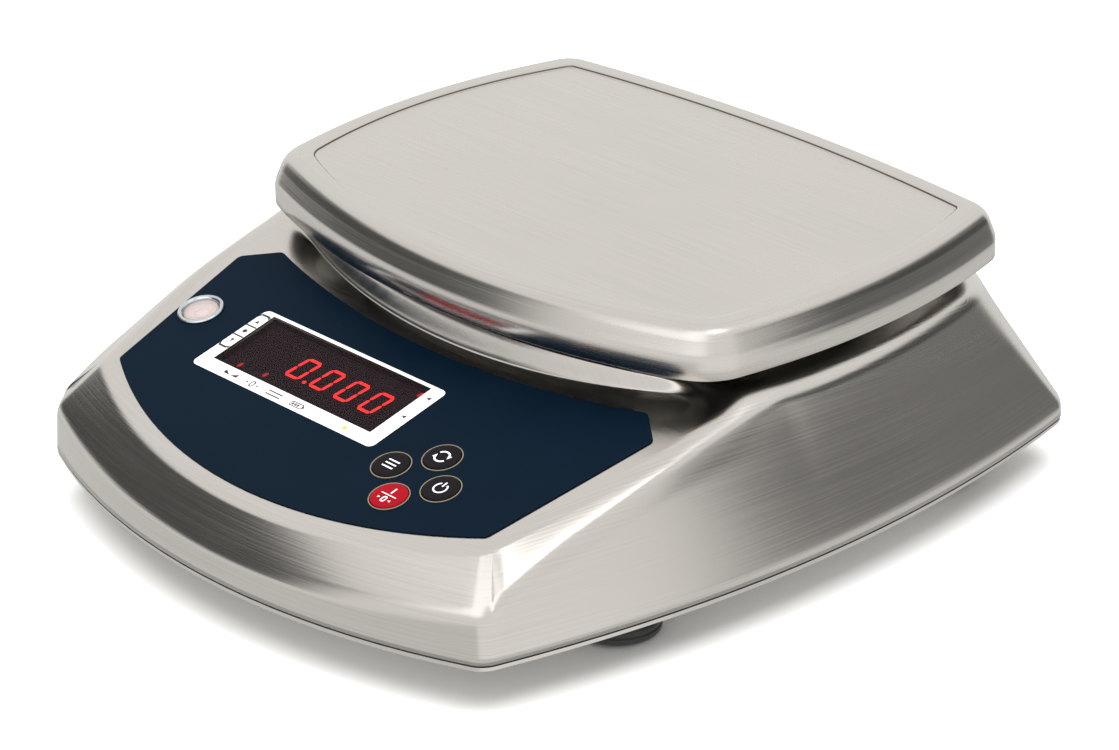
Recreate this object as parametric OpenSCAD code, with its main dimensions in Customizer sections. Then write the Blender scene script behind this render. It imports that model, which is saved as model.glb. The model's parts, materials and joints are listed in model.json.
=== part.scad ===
// Bench scale: a low splash-proof weighing scale with a lift-off steel platter.
// Origin: on the table, in the middle of the footprint. +X right, +Y back, +Z up.

/* [Housing] */
// Width between the two front corners of the housing at its bottom edge
housing_front_w = 230.4; // [200:0.1:260]
// Width between the two rear corners of the housing at its bottom edge
housing_rear_w = 255; // [220:0.1:280]
// Depth between the front and rear corners at the bottom edge
housing_d = 285.1; // [260:0.1:310]
// How far the front edge bulges out at its middle
housing_front_bow = 24.7; // [10:0.1:35]
// How far each side bulges out at its middle
housing_side_bow = 18.6; // [8:0.1:25]
// How far the rear edge bulges out at its middle
housing_rear_bow = 8.6; // [4:0.1:20]
// Height of the cover's bottom edge above the table
seam_z = 19; // [17:0.5:24]
// Height of the upright skirt round the bottom of the cover
skirt_h = 9; // [5:0.5:12]
// Height of the deck under the platter above the table
deck_z = 80.5; // [76:0.5:90]
// Sheet thickness of the cover
cover_t = 1.5; // [1:0.1:2.5]

/* [Display panel] */
// Slope of the display panel
panel_tilt = 13.5; // [10:0.5:18]
// Height at which the plane of the panel crosses the middle of the scale
panel_z0 = 81.6; // [78:0.1:88]
// Distance of the step behind the panel in front of the middle of the scale
step_front_y = 44.8; // [35:0.1:50]
// Radius of the step seen from above
step_r = 246; // [220:1:280]
// Width of the display window
window_w = 84.8; // [70:0.1:95]
// Height of the display window along the slope
window_h = 29.6; // [24:0.1:34]
// Height of a digit
digit_h = 12.1; // [9:0.1:14]
// Distance from one digit to the next
digit_pitch = 13; // [10:0.1:15]
// Diameter of a key cap
key_d = 13.4; // [10:0.1:14]
// Distance of each key from the middle of the key group
key_group_r = 12.6; // [11:0.1:15]
// Travel of a key
key_travel = 0.5; // [0.2:0.1:0.8]

/* [Platter] */
// Width between the front corners of the platter's lower edge
platter_front_w = 231; // [200:0.1:260]
// Width between the rear corners of the platter's lower edge
platter_rear_w = 224.4; // [200:0.1:260]
// Depth between the front and rear corners of the platter
platter_d = 155.3; // [130:0.1:170]
// How far the platter's front edge bulges out at its middle
platter_front_bow = 24.4; // [10:0.1:30]
// How far the platter's sides bulge out
platter_side_bow = 10.5; // [5:0.1:15]
// How far the platter's rear edge bulges out
platter_rear_bow = 7.6; // [4:0.1:12]
// Height of the platter's lower edge above the table
platter_z = 86; // [84:0.5:90]
// Height of the platter's rim above its lower edge
platter_h = 18.3; // [14:0.1:22]
// Sheet thickness of the platter
platter_t = 1.2; // [0.8:0.1:2]
// Depth of the platter's sunk weighing face below its rim
platter_sink = 1; // [0.5:0.1:2]

/* [Load cell] */
// Length of the load cell
cell_l = 130; // [110:1:150]
// Width of the load cell
cell_w = 30; // [22:1:40]
// Height of the load cell
cell_h = 22; // [18:1:25]
// Travel of the platter support from no load to the overload stop
weigh_travel = 0.5; // [0.3:0.1:0.8]

/* [Feet] */
// Diameter of a foot's rubber pad
foot_d = 32; // [26:1:36]
// Height of a foot's rubber pad
foot_h = 8; // [6:0.5:9]
// Diameter of a foot's stud
stud_d = 8; // [6:1:10]
// Distance of the feet either side of the middle
foot_x = 102; // [90:1:108]
// Distance of the front feet in front of the middle
foot_front_y = 60; // [50:1:80]
// Distance of the rear feet behind the middle
foot_rear_y = 103.5; // [90:0.5:112]

/* [Hidden] */
$fn = 64;

// Colours
steel = "silver";
navy = "#0d2539";

// Base plate and gasket lie between the feet and the cover
gasket_t = 0.8;
plate_t = 2;
plate_top = seam_z - gasket_t;
plate_z = plate_top - plate_t;

// Housing outlines as [front half width, front y, rear half width, rear y,
// front bow, side bow, rear bow, front corner radius, rear corner radius]
housing_front_y = -housing_d / 2 + (housing_front_bow - housing_rear_bow) / 2;
housing_rear_y = housing_front_y + housing_d;
housing_foot = [housing_front_w / 2, housing_front_y, housing_rear_w / 2, housing_rear_y,
    housing_front_bow, housing_side_bow, housing_rear_bow, 10, 12];
// Outline that the leaning walls reach at deck height, before the shoulder is rounded
housing_head = [housing_front_w / 2 - 26.9, housing_front_y + 29.2, housing_rear_w / 2 - 19.8,
    housing_rear_y - 23.7, 23.4, 27.6, 8, 3, 44.6];
side_n = 20;
corner_n = 8;

// Platter outline at its lower edge
platter_y = 40.8;
platter_front_y = platter_y - platter_d / 2 + (platter_front_bow - platter_rear_bow) / 2;
platter_rear_y = platter_front_y + platter_d;
platter_foot = [platter_front_w / 2, platter_front_y, platter_rear_w / 2, platter_rear_y,
    platter_front_bow, platter_side_bow, platter_rear_bow, 22, 14.5];
platter_rim_w = 7.2;

// Panel frame: its origin is on the panel at the front corners of the overlay
overlay_y = -116;
overlay_t = 0.4;
panel_h0 = panel_z0 + overlay_y * tan(panel_tilt);
window_x = -23.6;
window_y = 33.9;
digit_x = [-32.5, -19.5, -6.5, 6.4];
digit_y = 33.2;
key_group = [52.5, 9.8];
level_pos = [-94.2, 36.9];
board_gap = 9.5;
board_t = 1.6;

// Load path from the base plate to the platter
cell_y = 38;
block_h = 6;
cell_z = plate_top + block_h;
post_y = cell_y + cell_l / 2 - 15;
post_z = cell_z + cell_h + weigh_travel + 0.3;
support_z = 86;
support_t = 5;
post_r = 13;
post_hole_r = 22;

feet = [[-foot_x, -foot_front_y], [foot_x, -foot_front_y], [-foot_x, foot_rear_y], [foot_x, foot_rear_y]];
post_places = [[-84, -112], [84, -112], [-82, 108], [82, 108], [0, -134], [0, 117]];
socket_pos = [54, 128];

// Battery and main board on the base plate, either side of the load cell
battery_at = [-108, -4];
battery_size = [70, 96, 46];
strap_w = 16;
strap_t = 1.2;
strap_tab = 10.2;
strap_y = battery_at[1] + battery_size[1] / 2;
strap_x = [battery_at[0] - 0.5 - strap_t, battery_at[0] + battery_size[0] + 0.5];
strap_hole_x = [strap_x[0] - 4.8, strap_x[1] + 6];
main_board_at = [40, 0];
main_board_size = [66, 92];
main_board_z = plate_top + 8;
main_board_top = main_board_z + board_t;
ribbon_w = 12;
ribbon_t = 0.8;
ribbon_x = 52;
ribbon_back_y = 8;
ribbon_front_y = -75;

// ---- Outlines: four bowed sides joined by round corners ----

// Centre of the arc over the chord p to q that bulges by bow to the right of p to q
function arc_r(p, q, bow) = (pow(norm(q - p), 2) / 4 + bow * bow) / (2 * bow);
function arc_centre(p, q, bow) =
    let (t = (q - p) / norm(q - p), n = [t[1], -t[0]])
    (p + q) / 2 + n * (bow - arc_r(p, q, bow));
// Point where two circles meet, on the side nearest to the point near
function meet(c1, r1, c2, r2, near) =
    let (d = norm(c2 - c1), a = (r1 * r1 - r2 * r2 + d * d) / (2 * d))
    let (h = sqrt(max(0, r1 * r1 - a * a)), u = (c2 - c1) / d, m = c1 + u * a)
    let (p = m + [-u[1], u[0]] * h, q = m - [-u[1], u[0]] * h)
    norm(p - near) < norm(q - near) ? p : q;
function angle_of(v) = atan2(v[1], v[0]);
function turn(a, b) = let (d = (b - a + 720) % 360) d;
function sweep(c, r, a, b, n) = [for (i = [0 : n - 1]) c + r * [cos(a + turn(a, b) * i / n), sin(a + turn(a, b) * i / n)]];
function inset(o, e) = [o[0] - e, o[1] + e, o[2] - e, o[3] - e, o[4], o[5], o[6], max(1, o[7] - e), max(1, o[8] - e)];
function blend(a, b, t) = [for (i = [0 : len(a) - 1]) a[i] * (1 - t) + b[i] * t];
function outline(o) =
    let (p = [[-o[0], o[1]], [o[0], o[1]], [o[2], o[3]], [-o[2], o[3]]], bow = [o[4], o[5], o[6], o[5]])
    let (rad = [o[7], o[8], o[8], o[7]])
    let (c = [for (i = [0 : 3]) arc_centre(p[i], p[(i + 1) % 4], bow[i])])
    let (r = [for (i = [0 : 3]) arc_r(p[i], p[(i + 1) % 4], bow[i])])
    let (f = [for (i = [0 : 3]) let (j = (i + 1) % 4) meet(c[i], r[i] - rad[i], c[j], r[j] - rad[i], p[j])])
    [for (i = [0 : 3]) let (j = (i + 1) % 4, k = (i + 3) % 4) each concat(
        sweep(c[i], r[i], angle_of(f[k] - c[i]), angle_of(f[i] - c[i]), side_n),
        sweep(f[i], rad[i], angle_of(f[i] - c[i]), angle_of(f[i] - c[j]), corner_n))];

// Closed solid through level outlines, each given as [outline, height]
module loft(levels) {
    rings = [for (l = levels) [for (p = outline(l[0])) [p[0], p[1], l[1]]]];
    n = len(rings[0]);
    top = (len(rings) - 1) * n;
    walls = [for (k = [0 : len(rings) - 2]) for (i = [0 : n - 1]) for (t = [0, 1])
        t == 0 ? [k * n + i, (k + 1) * n + i, k * n + (i + 1) % n]
               : [k * n + (i + 1) % n, (k + 1) * n + i, (k + 1) * n + (i + 1) % n]];
    polyhedron(concat([for (r = rings) each r]), concat(walls,
        [[for (i = [0 : n - 1]) i], [for (i = [n - 1 : -1 : 0]) top + i]]));
}

// Wall of the housing at height z; lean starts at the top of the skirt
function wall(z, e) =
    let (t = max(0, (z - seam_z - skirt_h) / (deck_z - seam_z - skirt_h)))
    inset(blend(inset(housing_foot, z > seam_z ? 0.6 : 0), housing_head, t), e);

// Puts children in the panel frame: local z is the panel's outward normal
module on_panel() {
    translate([0, overlay_y, panel_h0])
        rotate([panel_tilt, 0, 0])
            children();
}

// Everything above the panel plane lowered by t, except under the deck
module panel_cutter(t) {
    difference() {
        on_panel()
            translate([-200, -200, -t])
                cube([400, 400, 120]);
        translate([0, step_r - step_front_y, 0])
            cylinder(r = step_r - t, h = 200, $fn = 200);
    }
}

// Housing solid drawn in by t everywhere
module housing_solid(t) {
    difference() {
        loft([
            [wall(seam_z, t), seam_z - (t > 0 ? 1 : 0)],
            [wall(seam_z + skirt_h, t), seam_z + skirt_h],
            [wall(deck_z - 9, t), deck_z - 9],
            [wall(deck_z - 4, t + 1.2), deck_z - 4 - t * 0.5],
            [wall(deck_z - 1.2, t + 4), deck_z - 1.2 - t * 0.85],
            [wall(deck_z, t + 8), deck_z - t]
        ]);
        panel_cutter(t);
    }
}

module key_hole(p, r) {
    translate([p[0], p[1], -20])
        cylinder(r = r, h = 40);
}

function key_place(i) = key_group + key_group_r * [[0, -1], [-1, 0], [0, 1], [1, 0]][i];

module top_cover() {
    color(steel)
    difference() {
        union() {
            difference() {
                housing_solid(0);
                housing_solid(cover_t);
            }
            // Raised lip that keeps water out of the post's hole
            translate([0, post_y, deck_z - cover_t])
                cylinder(r = post_hole_r + 1.5, h = cover_t + 2.5);
        }
        translate([0, post_y, deck_z - 10])
            cylinder(r = post_hole_r, h = 20);
        on_panel() {
            translate([window_x - window_w / 2 - 0.2, window_y - window_h / 2 - 0.2, -10])
                cube([window_w + 0.4, window_h + 0.4, 20]);
            for (i = [0 : 3])
                key_hole(key_place(i), key_d / 2 + 0.3);
            key_hole(level_pos, 8);
        }
    }
}

// Threaded posts welded under the cover; the base plate is screwed to them
module cover_post(p) {
    difference() {
        translate([p[0], p[1], seam_z])
            cylinder(d = 10, h = deck_z - cover_t - seam_z);
        panel_cutter(cover_t);
        translate([p[0], p[1], seam_z - 1])
            cylinder(d = 4, h = 15);
    }
}

module cover_posts() {
    color("gainsboro")
    for (p = post_places)
        cover_post(p);
}

module base_plate() {
    color(steel)
    difference() {
        loft([
            [inset(housing_foot, 1), plate_z],
            [inset(housing_foot, 0.2), plate_z + 0.8],
            [inset(housing_foot, 0.2), plate_top]
        ]);
        for (p = post_places)
            translate([p[0], p[1], plate_z - 1])
                cylinder(d = 4.4, h = 10);
        for (p = feet)
            translate([p[0], p[1], plate_z - 1])
                cylinder(d = 14, h = 10);
        for (s = [-1, 1])
            translate([8 * s, cell_y - cell_l / 2 + 15, plate_z - 1])
                cylinder(d = 6.4, h = 10);
        translate([0, post_y, plate_z - 1])
            cylinder(d = 6, h = 10);
        translate([socket_pos[0], socket_pos[1], plate_z - 1])
            cylinder(d = 12, h = 10);
    }
}

module base_gasket() {
    color("black")
    difference() {
        translate([0, 0, plate_top])
            linear_extrude(gasket_t)
                polygon(outline(inset(housing_foot, 0.5)));
        translate([0, 0, plate_top - 1])
            linear_extrude(gasket_t + 2)
                polygon(outline(inset(housing_foot, 8)));
    }
}

// Pan-head screw pointing up, its head's underside at z = 0
module screw_up(d, length, head_d, head_h) {
    cylinder(d = d, h = length);
    translate([0, 0, -head_h])
        difference() {
            cylinder(d = head_d, h = head_h);
            translate([0, 0, -1])
                cylinder(d = d * 0.55, h = 1 + head_h * 0.6, $fn = 6);
        }
}

module base_screws() {
    color("lightgray")
    for (p = post_places)
        translate([p[0], p[1], plate_z])
            screw_up(4, 12, 8, 2.6);
}

// Printed sheet on the panel
function overlay_points() =
    let (fl = [-97.6, 0], fr = [97.6, 0], rr = [96, 79.3], rl = [-96, 79.3])
    let (c = arc_centre(fl, fr, 27.6), r = arc_r(fl, fr, 27.6), k = arc_centre(rl, rr, 14.2), s = arc_r(rl, rr, 14.2))
    concat(sweep(c, r, angle_of(fl - c), angle_of(fr - c), 32), [fr, [108.9, 68.7]],
        [for (i = [32 : -1 : 0]) let (a = angle_of(rl - k), b = angle_of(rr - k)) k + s * [cos(a + turn(a, b) * i / 32),
            sin(a + turn(a, b) * i / 32)]], [[-108.9, 68.7]]);

module keypad_overlay() {
    color(navy)
    on_panel()
        difference() {
            linear_extrude(overlay_t)
                offset(r = 3, $fn = 24)
                    offset(delta = -3)
                        polygon(overlay_points());
            translate([window_x - window_w / 2 - 0.1, window_y - window_h / 2 - 0.1, -1])
                cube([window_w + 0.2, window_h + 0.2, 4]);
            for (i = [0 : 3])
                key_hole(key_place(i), key_d / 2 + 0.3);
            key_hole(level_pos, 8);
        }
}

module display_window() {
    color("#21161c", 0.6)
    on_panel()
        translate([window_x - window_w / 2, window_y - window_h / 2, -cover_t])
            cube([window_w, window_h, cover_t + overlay_t]);
}

// Block that carries the digits, behind the window
module digit_display() {
    color("#1a1a1c")
    on_panel()
        translate([window_x - window_w / 2 + 2, window_y - window_h / 2 + 1.5, -board_gap])
            cube([window_w - 4, window_h - 3, board_gap - cover_t - 0.8]);
}

// One seven-segment zero: six bars standing on the digit block
module zero_digit(w, h, bar) {
    half = h / 2;
    for (s = [-1, 1]) {
        translate([-w / 2 + bar * 0.6, s * (half - bar / 2) - bar / 2, 0])
            cube([w - bar * 1.2, bar, 0.3]);
        for (u = [-1, 1])
            translate([s * (w / 2 - bar / 2) - bar / 2, u * (half / 2 - bar * 0.15) - half / 2 + bar * 0.75, 0])
                cube([bar, half - bar * 1.5, 0.3]);
    }
}

module digit_segments() {
    color("red")
    on_panel()
        translate([0, digit_y, -cover_t - 0.8]) {
            for (x = digit_x)
                translate([x, 0, 0])
                    zero_digit(7.6, digit_h, 1.3);
            translate([digit_x[0] + 6, -digit_h / 2 + 0.7, 0])
                cylinder(r = 0.8, h = 0.3);
        }
}

module display_board() {
    color("darkgreen")
    on_panel()
        difference() {
            translate([-76, -12, -board_gap - board_t])
                cube([152, 66, board_t]);
            for (x = [-71, 71])
                for (y = [-7, 49])
                    key_hole([x, y], 1.7);
        }
}

// Pillars that hang the display board under the cover
module board_standoffs() {
    color("gold")
    on_panel()
        for (x = [-71, 71])
            for (y = [-7, 49])
                translate([x, y, 0]) {
                    translate([0, 0, -board_gap])
                        cylinder(d = 6, h = board_gap - cover_t);
                    translate([0, 0, -board_gap - board_t - 1.5])
                        cylinder(d = 3, h = board_t + 3);
                    translate([0, 0, -board_gap - board_t - 2.2])
                        cylinder(d = 6, h = 2.2, $fn = 6);
                }
}

// Tactile switches under the keys
module key_switches() {
    color("#303034")
    on_panel()
        for (i = [0 : 3])
            translate([key_place(i)[0], key_place(i)[1], -board_gap]) {
                translate([-3, -3, 0])
                    cube([6, 6, 3.4]);
                cylinder(r = 1.7, h = 4.6);
            }
}

// Key cap with a flange that holds it under the cover
module key_cap(i) {
    on_panel()
        translate([key_place(i)[0], key_place(i)[1], 0]) {
            translate([0, 0, -cover_t - 0.3 - 1.2])
                cylinder(d = key_d + 2.4, h = 1.2);
            translate([0, 0, -cover_t - 1])
                cylinder(d = key_d, h = cover_t + 1 + overlay_t + 0.8);
            translate([0, 0, -cover_t - 2.2])
                cylinder(r = 2, h = 2);
        }
}

module key_zero() {
    color("crimson")
        key_cap(0);
}

module key_function() {
    color("#232026")
        key_cap(1);
}

module key_mode() {
    color("#232026")
        key_cap(2);
}

module key_off() {
    color("#232026")
        key_cap(3);
}

// Raised rings round the keys
module key_bezels() {
    color("#9a9484")
    on_panel()
        for (i = [0 : 3])
            translate([key_place(i)[0], key_place(i)[1], overlay_t])
                difference() {
                    cylinder(d = key_d + 1.4, h = 0.5);
                    translate([0, 0, -1])
                        cylinder(d = key_d + 0.6, h = 3);
                }
}

// Cup of the bubble level, sunk in the panel
module level_cup() {
    color("silver")
    on_panel()
        translate([level_pos[0], level_pos[1], 0])
            difference() {
                union() {
                    translate([0, 0, -8])
                        cylinder(r = 7.8, h = 8 + overlay_t);
                    translate([0, 0, overlay_t])
                        cylinder(r = 8.85, h = 0.7);
                }
                translate([0, 0, -7])
                    cylinder(r = 6.8, h = 10);
            }
}

module level_lens() {
    color("palegreen", 0.5)
    on_panel()
        translate([level_pos[0], level_pos[1], -7])
            cylinder(r = 6.8, h = 7 + overlay_t + 0.5);
}

module platter() {
    color(steel)
    difference() {
        loft([
            [platter_foot, platter_z],
            [platter_foot, platter_z + 7.6],
            [inset(platter_foot, 0.6), platter_z + 11],
            [inset(platter_foot, 2.1), platter_z + 14.6],
            [inset(platter_foot, 3.2), platter_z + 17.5],
            [inset(platter_foot, 4.6), platter_z + platter_h]
        ]);
        loft([
            [inset(platter_foot, platter_t), platter_z - 1],
            [inset(platter_foot, platter_t), platter_z + 7.6],
            [inset(platter_foot, platter_t + 0.6), platter_z + 11],
            [inset(platter_foot, platter_t + 2.1), platter_z + 14.2],
            [inset(platter_foot, platter_t + 3.2), platter_z + platter_h - platter_sink - platter_t]
        ]);
        loft([
            [inset(platter_foot, 5 + platter_rim_w), platter_z + platter_h - platter_sink],
            [inset(platter_foot, 4 + platter_rim_w), platter_z + platter_h + 1]
        ]);
    }
}

pad_places = [[-84, -24], [84, -24], [-84, 96], [84, 96]];
pad_h = 5;
pad_top = platter_z + platter_h - platter_sink - platter_t - 0.3;

// Cast arm from the post to one pad
module support_arm(p) {
    len_xy = norm([p[0], p[1] - post_y]);
    translate([0, post_y, support_z])
        rotate([0, 0, angle_of([p[0], p[1] - post_y])])
            translate([0, -8, 0])
                cube([len_xy, 16, support_t + 3]);
}

module platter_support() {
    color("lightgray")
    difference() {
        union() {
            for (p = pad_places) {
                support_arm(p);
                translate([p[0], p[1], support_z])
                    cylinder(r = 11, h = pad_top - pad_h - support_z);
            }
            for (y = [pad_places[0][1], pad_places[2][1]])
                translate([-84, y - 6, support_z])
                    cube([168, 12, support_t]);
            translate([0, post_y, support_z])
                cylinder(r = 24, h = support_t + 3);
        }
        for (s = [-1, 1])
            translate([8 * s, post_y, support_z - 1]) {
                cylinder(d = 6.4, h = 20);
                translate([0, 0, support_t + 1])
                    cylinder(d = 12, h = 20);
            }
    }
}

module support_pads() {
    color("#222222")
    for (p = pad_places)
        translate([p[0], p[1], pad_top - pad_h]) {
            cylinder(r = 8, h = pad_h - 1);
            translate([0, 0, pad_h - 1])
                cylinder(r1 = 8, r2 = 6.5, h = 1);
        }
}

// Round post from the free end of the load cell up through the deck
module support_post() {
    color("lightgray")
    difference() {
        translate([0, post_y, post_z])
            cylinder(r = post_r, h = support_z - post_z);
        for (s = [-1, 1])
            translate([8 * s, post_y, post_z - 1])
                cylinder(d = 6.4, h = support_z);
    }
}

module support_screws() {
    color("gray")
    for (s = [-1, 1])
        translate([8 * s, post_y, 0]) {
            translate([0, 0, cell_z + cell_h - 10])
                cylinder(d = 6, h = support_z + support_t - cell_z - cell_h + 10);
            translate([0, 0, support_z + support_t])
                difference() {
                    cylinder(d = 10, h = 2.9);
                    translate([0, 0, 1])
                        cylinder(d = 5, h = 4, $fn = 6);
                }
        }
}

// Rubber ring that closes most of the gap between the cover's lip and the post
module post_seal() {
    color("#2a2a2a")
    translate([0, post_y, deck_z + 0.4])
        difference() {
            cylinder(r = post_hole_r, h = 1.6);
            translate([0, 0, -1])
                cylinder(r = post_r + 0.5, h = 4);
        }
}

// Single-point load cell: a bar with a twin-bore flexure
module load_cell() {
    color("gainsboro")
    difference() {
        translate([-cell_w / 2, cell_y - cell_l / 2, cell_z])
            cube([cell_w, cell_l, cell_h]);
        for (s = [-1, 1])
            translate([-cell_w, cell_y + 12 * s, cell_z + cell_h / 2])
                rotate([0, 90, 0])
                    cylinder(r = 8.5, h = cell_w * 2);
        translate([-cell_w, cell_y - 12, cell_z + cell_h / 2 - 3])
            cube([cell_w * 2, 24, 6]);
        for (s = [-1, 1]) {
            translate([8 * s, post_y, cell_z + cell_h - 12])
                cylinder(d = 6.8, h = 20);
            translate([8 * s, cell_y - cell_l / 2 + 15, cell_z - 1])
                cylinder(d = 6, h = 14);
        }
    }
}

module cell_base_block() {
    color("gray")
    difference() {
        translate([-cell_w / 2, cell_y - cell_l / 2, plate_top])
            cube([cell_w, 30, block_h]);
        for (s = [-1, 1])
            translate([8 * s, cell_y - cell_l / 2 + 15, plate_top - 1])
                cylinder(d = 6.4, h = block_h + 2);
    }
}

module cell_screws() {
    color("gray")
    for (s = [-1, 1])
        translate([8 * s, cell_y - cell_l / 2 + 15, plate_z])
            screw_up(6, plate_t + block_h + 11, 11, 3.4);
}

// Stop under the free end of the load cell, set in the base plate
module overload_stop() {
    color("gray")
    difference() {
        translate([0, post_y, plate_z - 1])
            cylinder(d = 5.98, h = cell_z - weigh_travel - plate_z + 1);
        translate([0, post_y, plate_z - 2])
            cylinder(d = 3, h = 4, $fn = 6);
    }
}

module overload_nut() {
    color("gray")
    translate([0, post_y, plate_top])
        difference() {
            cylinder(d = 11, h = 4, $fn = 6);
            translate([0, 0, -1])
                cylinder(d = 6, h = 6);
        }
}

function board_holes(at, size) = [for (x = [5, size[0] - 5]) for (y = [5, size[1] - 5]) at + [x, y]];

module main_board() {
    color("darkgreen")
    difference() {
        union() {
            translate([main_board_at[0], main_board_at[1], main_board_z])
                cube([main_board_size[0], main_board_size[1], board_t]);
            // Tall components: terminal block, transformer and heat sink
            translate([74, 14, main_board_top])
                cube([20, 9, 9]);
            translate([74, 50, main_board_top])
                cube([22, 24, 16]);
            translate([50, 60, main_board_top])
                cube([14, 14, 3]);
        }
        for (p = board_holes(main_board_at, main_board_size))
            translate([p[0], p[1], plate_top])
                cylinder(d = 3.4, h = 20);
    }
}

module main_board_standoffs() {
    color("gold")
    for (p = board_holes(main_board_at, main_board_size))
        translate([p[0], p[1], plate_top]) {
            cylinder(d = 6, h = main_board_z - plate_top);
            cylinder(d = 3.3, h = main_board_top - plate_top + 1.4);
            translate([0, 0, main_board_top - plate_top])
                cylinder(d = 6, h = 2);
        }
}

// Flat cable along the main board, then up to the underside of the display board
module display_ribbon() {
    color("lightgray")
    difference() {
        translate([ribbon_x, ribbon_front_y, main_board_top]) {
            cube([ribbon_w, ribbon_back_y - ribbon_front_y, ribbon_t]);
            cube([ribbon_w, ribbon_t, 40]);
        }
        on_panel()
            translate([0, -20, -board_gap - board_t])
                cube([200, 200, 60]);
    }
}

// Sealed battery with two flat terminals at its front
module battery() {
    color("#3a3d42")
    union() {
        translate([battery_at[0], battery_at[1], plate_top])
            cube(battery_size);
        for (x = [11, battery_size[0] - 11])
            translate([battery_at[0] + x - 6, battery_at[1] - 6.5, plate_top + 36])
                cube([6, 6.5, 1]);
    }
}

module battery_strap() {
    color("silver")
    translate([0, strap_y - strap_w / 2, plate_top])
        difference() {
            union() {
                translate([strap_x[0], 0, battery_size[2]])
                    cube([strap_x[1] + strap_t - strap_x[0], strap_w, strap_t]);
                for (x = strap_x)
                    translate([x, 0, 0])
                        cube([strap_t, strap_w, battery_size[2] + strap_t]);
                for (x = [strap_x[0] - strap_tab + strap_t, strap_x[1]])
                    translate([x, 0, 0])
                        cube([strap_tab, strap_w, strap_t]);
            }
            for (x = strap_hole_x)
                translate([x, strap_w / 2, -1])
                    cylinder(d = 3.4, h = 4);
        }
}

module battery_strap_screws() {
    color("gray")
    for (x = strap_hole_x)
        translate([x, strap_y, plate_top]) {
            cylinder(d = 3.3, h = strap_t);
            translate([0, 0, strap_t])
                cylinder(d = 6, h = 2);
        }
}

// Socket for the charger, facing down behind the right rear foot
module charging_socket() {
    color("#202022")
    translate([socket_pos[0], socket_pos[1], 0])
        difference() {
            union() {
                translate([0, 0, plate_z - 2])
                    cylinder(d = 15, h = 2);
                translate([0, 0, plate_z])
                    cylinder(d = 11.9, h = 16);
            }
            translate([0, 0, plate_z - 3])
                cylinder(d = 8, h = 13);
        }
}

module socket_nut() {
    color("silver")
    translate([socket_pos[0], socket_pos[1], plate_top])
        difference() {
            cylinder(d = 17, h = 3, $fn = 6);
            translate([0, 0, -1])
                cylinder(d = 11.92, h = 6);
        }
}

// Rubber plug pushed into the socket from below
module socket_plug() {
    color("#2a2a2a")
    translate([socket_pos[0], socket_pos[1], plate_z - 2]) {
        translate([0, 0, -2.3])
            cylinder(d = 14, h = 2);
        translate([0, 0, -0.4])
            cylinder(d = 7.9, h = 7.4);
        translate([5.5, -2, -2.3])
            cube([6, 4, 1.6]);
    }
}

// Threaded bushings welded into the base plate for the feet
module foot_bushings() {
    color("gainsboro")
    for (p = feet)
        translate([p[0], p[1], plate_z])
            difference() {
                union() {
                    cylinder(d = 14, h = plate_t);
                    translate([0, 0, plate_t])
                        cylinder(d = 16, h = 12);
                }
                translate([0, 0, -1])
                    cylinder(d = stud_d + 0.1, h = 20);
            }
}

module foot_lock_nuts() {
    color("silver")
    for (p = feet)
        translate([p[0], p[1], plate_z - 4])
            difference() {
                cylinder(d = 20, h = 4, $fn = 6);
                translate([0, 0, -1])
                    cylinder(d = stud_d + 0.1, h = 6);
            }
}

module foot_pad(i) {
    color("#1c1c1e")
    translate([feet[i][0], feet[i][1], 0])
        difference() {
            union() {
                translate([0, 0, 1])
                    cylinder(d = foot_d, h = foot_h - 2.5);
                cylinder(d1 = foot_d - 2, d2 = foot_d, h = 1);
                translate([0, 0, foot_h - 1.5])
                    cylinder(d1 = foot_d, d2 = foot_d - 5, h = 1.5);
            }
            translate([0, 0, 2])
                cylinder(d = 12.1, h = 10);
        }
}

// Steel stud: a round foot held in the rubber pad, a hexagon and the thread
module foot_stud(i) {
    color("silver")
    translate([feet[i][0], feet[i][1], 2]) {
        cylinder(d = 12, h = foot_h - 2);
        translate([0, 0, foot_h - 2])
            cylinder(d = 13, h = 3, $fn = 6);
        cylinder(d = stud_d, h = 30);
    }
}

module foot_pad_front_left() { foot_pad(0); }
module foot_pad_front_right() { foot_pad(1); }
module foot_pad_rear_left() { foot_pad(2); }
module foot_pad_rear_right() { foot_pad(3); }
module foot_stud_front_left() { foot_stud(0); }
module foot_stud_front_right() { foot_stud(1); }
module foot_stud_rear_left() { foot_stud(2); }
module foot_stud_rear_right() { foot_stud(3); }

top_cover();
cover_posts();
base_plate();
base_gasket();
base_screws();
keypad_overlay();
display_window();
digit_display();
digit_segments();
display_board();
board_standoffs();
key_switches();
key_zero();
key_function();
key_mode();
key_off();
key_bezels();
level_cup();
level_lens();
platter();
platter_support();
support_pads();
support_post();
support_screws();
post_seal();
load_cell();
cell_base_block();
cell_screws();
overload_stop();
overload_nut();
main_board();
main_board_standoffs();
display_ribbon();
battery();
battery_strap();
battery_strap_screws();
charging_socket();
socket_nut();
socket_plug();
foot_bushings();
foot_lock_nuts();
foot_pad_front_left();
foot_pad_front_right();
foot_pad_rear_left();
foot_pad_rear_right();
foot_stud_front_left();
foot_stud_front_right();
foot_stud_rear_left();
foot_stud_rear_right();
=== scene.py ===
"""Bench scale: the visual model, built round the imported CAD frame. Lengths below are in millimetres."""
import math

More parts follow.
